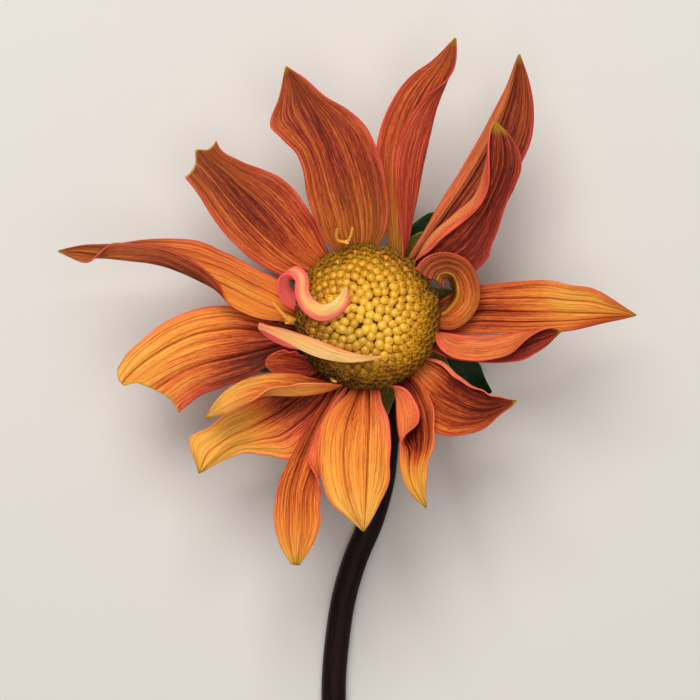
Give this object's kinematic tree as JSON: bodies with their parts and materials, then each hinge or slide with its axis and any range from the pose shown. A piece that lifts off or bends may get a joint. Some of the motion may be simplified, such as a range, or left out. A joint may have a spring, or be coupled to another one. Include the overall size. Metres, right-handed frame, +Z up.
{
  "type": "dahlia flower",
  "caption": "Cut single dahlia lying on its back: a domed golden disc of florets, long twisted orange and pink petals, green bracts and a curved dark stem.",
  "frame": {"origin": "the middle of the flower's box at the level of the surface it lies on", "axes": "+Z up from the surface, out of the open face of the flower; +Y from the cut end of the stem towards the flower's head; +X to the right of the open face when seen from above"},
  "size_m": [0.1142, 0.1706, 0.0419],
  "materials": {
    "petal_russet": "soft satin petal, orange-red with fine lengthwise veins and pink-red margins",
    "petal_amber": "soft satin petal, golden orange with fine lengthwise veins and pink margins",
    "petal_blush": "soft satin petal, pale cream-yellow inside and pink outside",
    "disc_gold": "smooth waxy buds, golden yellow, with olive scales between the outer ones",
    "floret_yellow": "waxy bright yellow",
    "bract_green": "glossy dark green leaf with paler parallel veins",
    "phyllary_olive": "thin translucent olive scale",
    "receptacle_green": "firm green flesh",
    "stem_maroon": "smooth dark maroon skin with fine lengthwise ridges"
  },
  "bodies": {
    "root": {"petal_01_top_broad": "petal_russet", "petal_02_top_folded": "petal_russet", "petal_03_back_spear": "petal_russet", "petal_04_hooded": "petal_russet", "petal_05_ram_horn": "petal_russet", "petal_06_right_long": "petal_amber", "petal_07_right_folded": "petal_amber", "petal_08_lower_right": "petal_amber", "petal_09_right_scoop": "petal_amber", "petal_10_bottom_broad": "petal_amber", "petal_11_left_scoop": "petal_amber", "petal_12_lower_left": "petal_amber", "petal_13_boat": "petal_amber", "petal_14_small_cup": "petal_amber", "petal_15_left_broad": "petal_amber", "petal_16_left_twisted": "petal_amber", "petal_17_upper_left": "petal_russet", "petal_18_inner_hook": "petal_blush", "petal_19_inner_strap": "petal_blush", "disc_of_florets": "disc_gold", "open_floret_01_top": "floret_yellow", "open_floret_02_left": "floret_yellow", "open_floret_03_low": "floret_yellow", "receptacle": "receptacle_green", "outer_bract_01": "bract_green", "outer_bract_02": "bract_green", "outer_bract_03": "bract_green", "outer_bract_04": "bract_green", "outer_bract_05": "bract_green", "inner_bract_01": "phyllary_olive", "inner_bract_02": "phyllary_olive", "inner_bract_03": "phyllary_olive", "inner_bract_04": "phyllary_olive", "inner_bract_05": "phyllary_olive", "inner_bract_06": "phyllary_olive", "inner_bract_07": "phyllary_olive", "inner_bract_08": "phyllary_olive", "stem": "stem_maroon"}
  },
  "joints": []
}
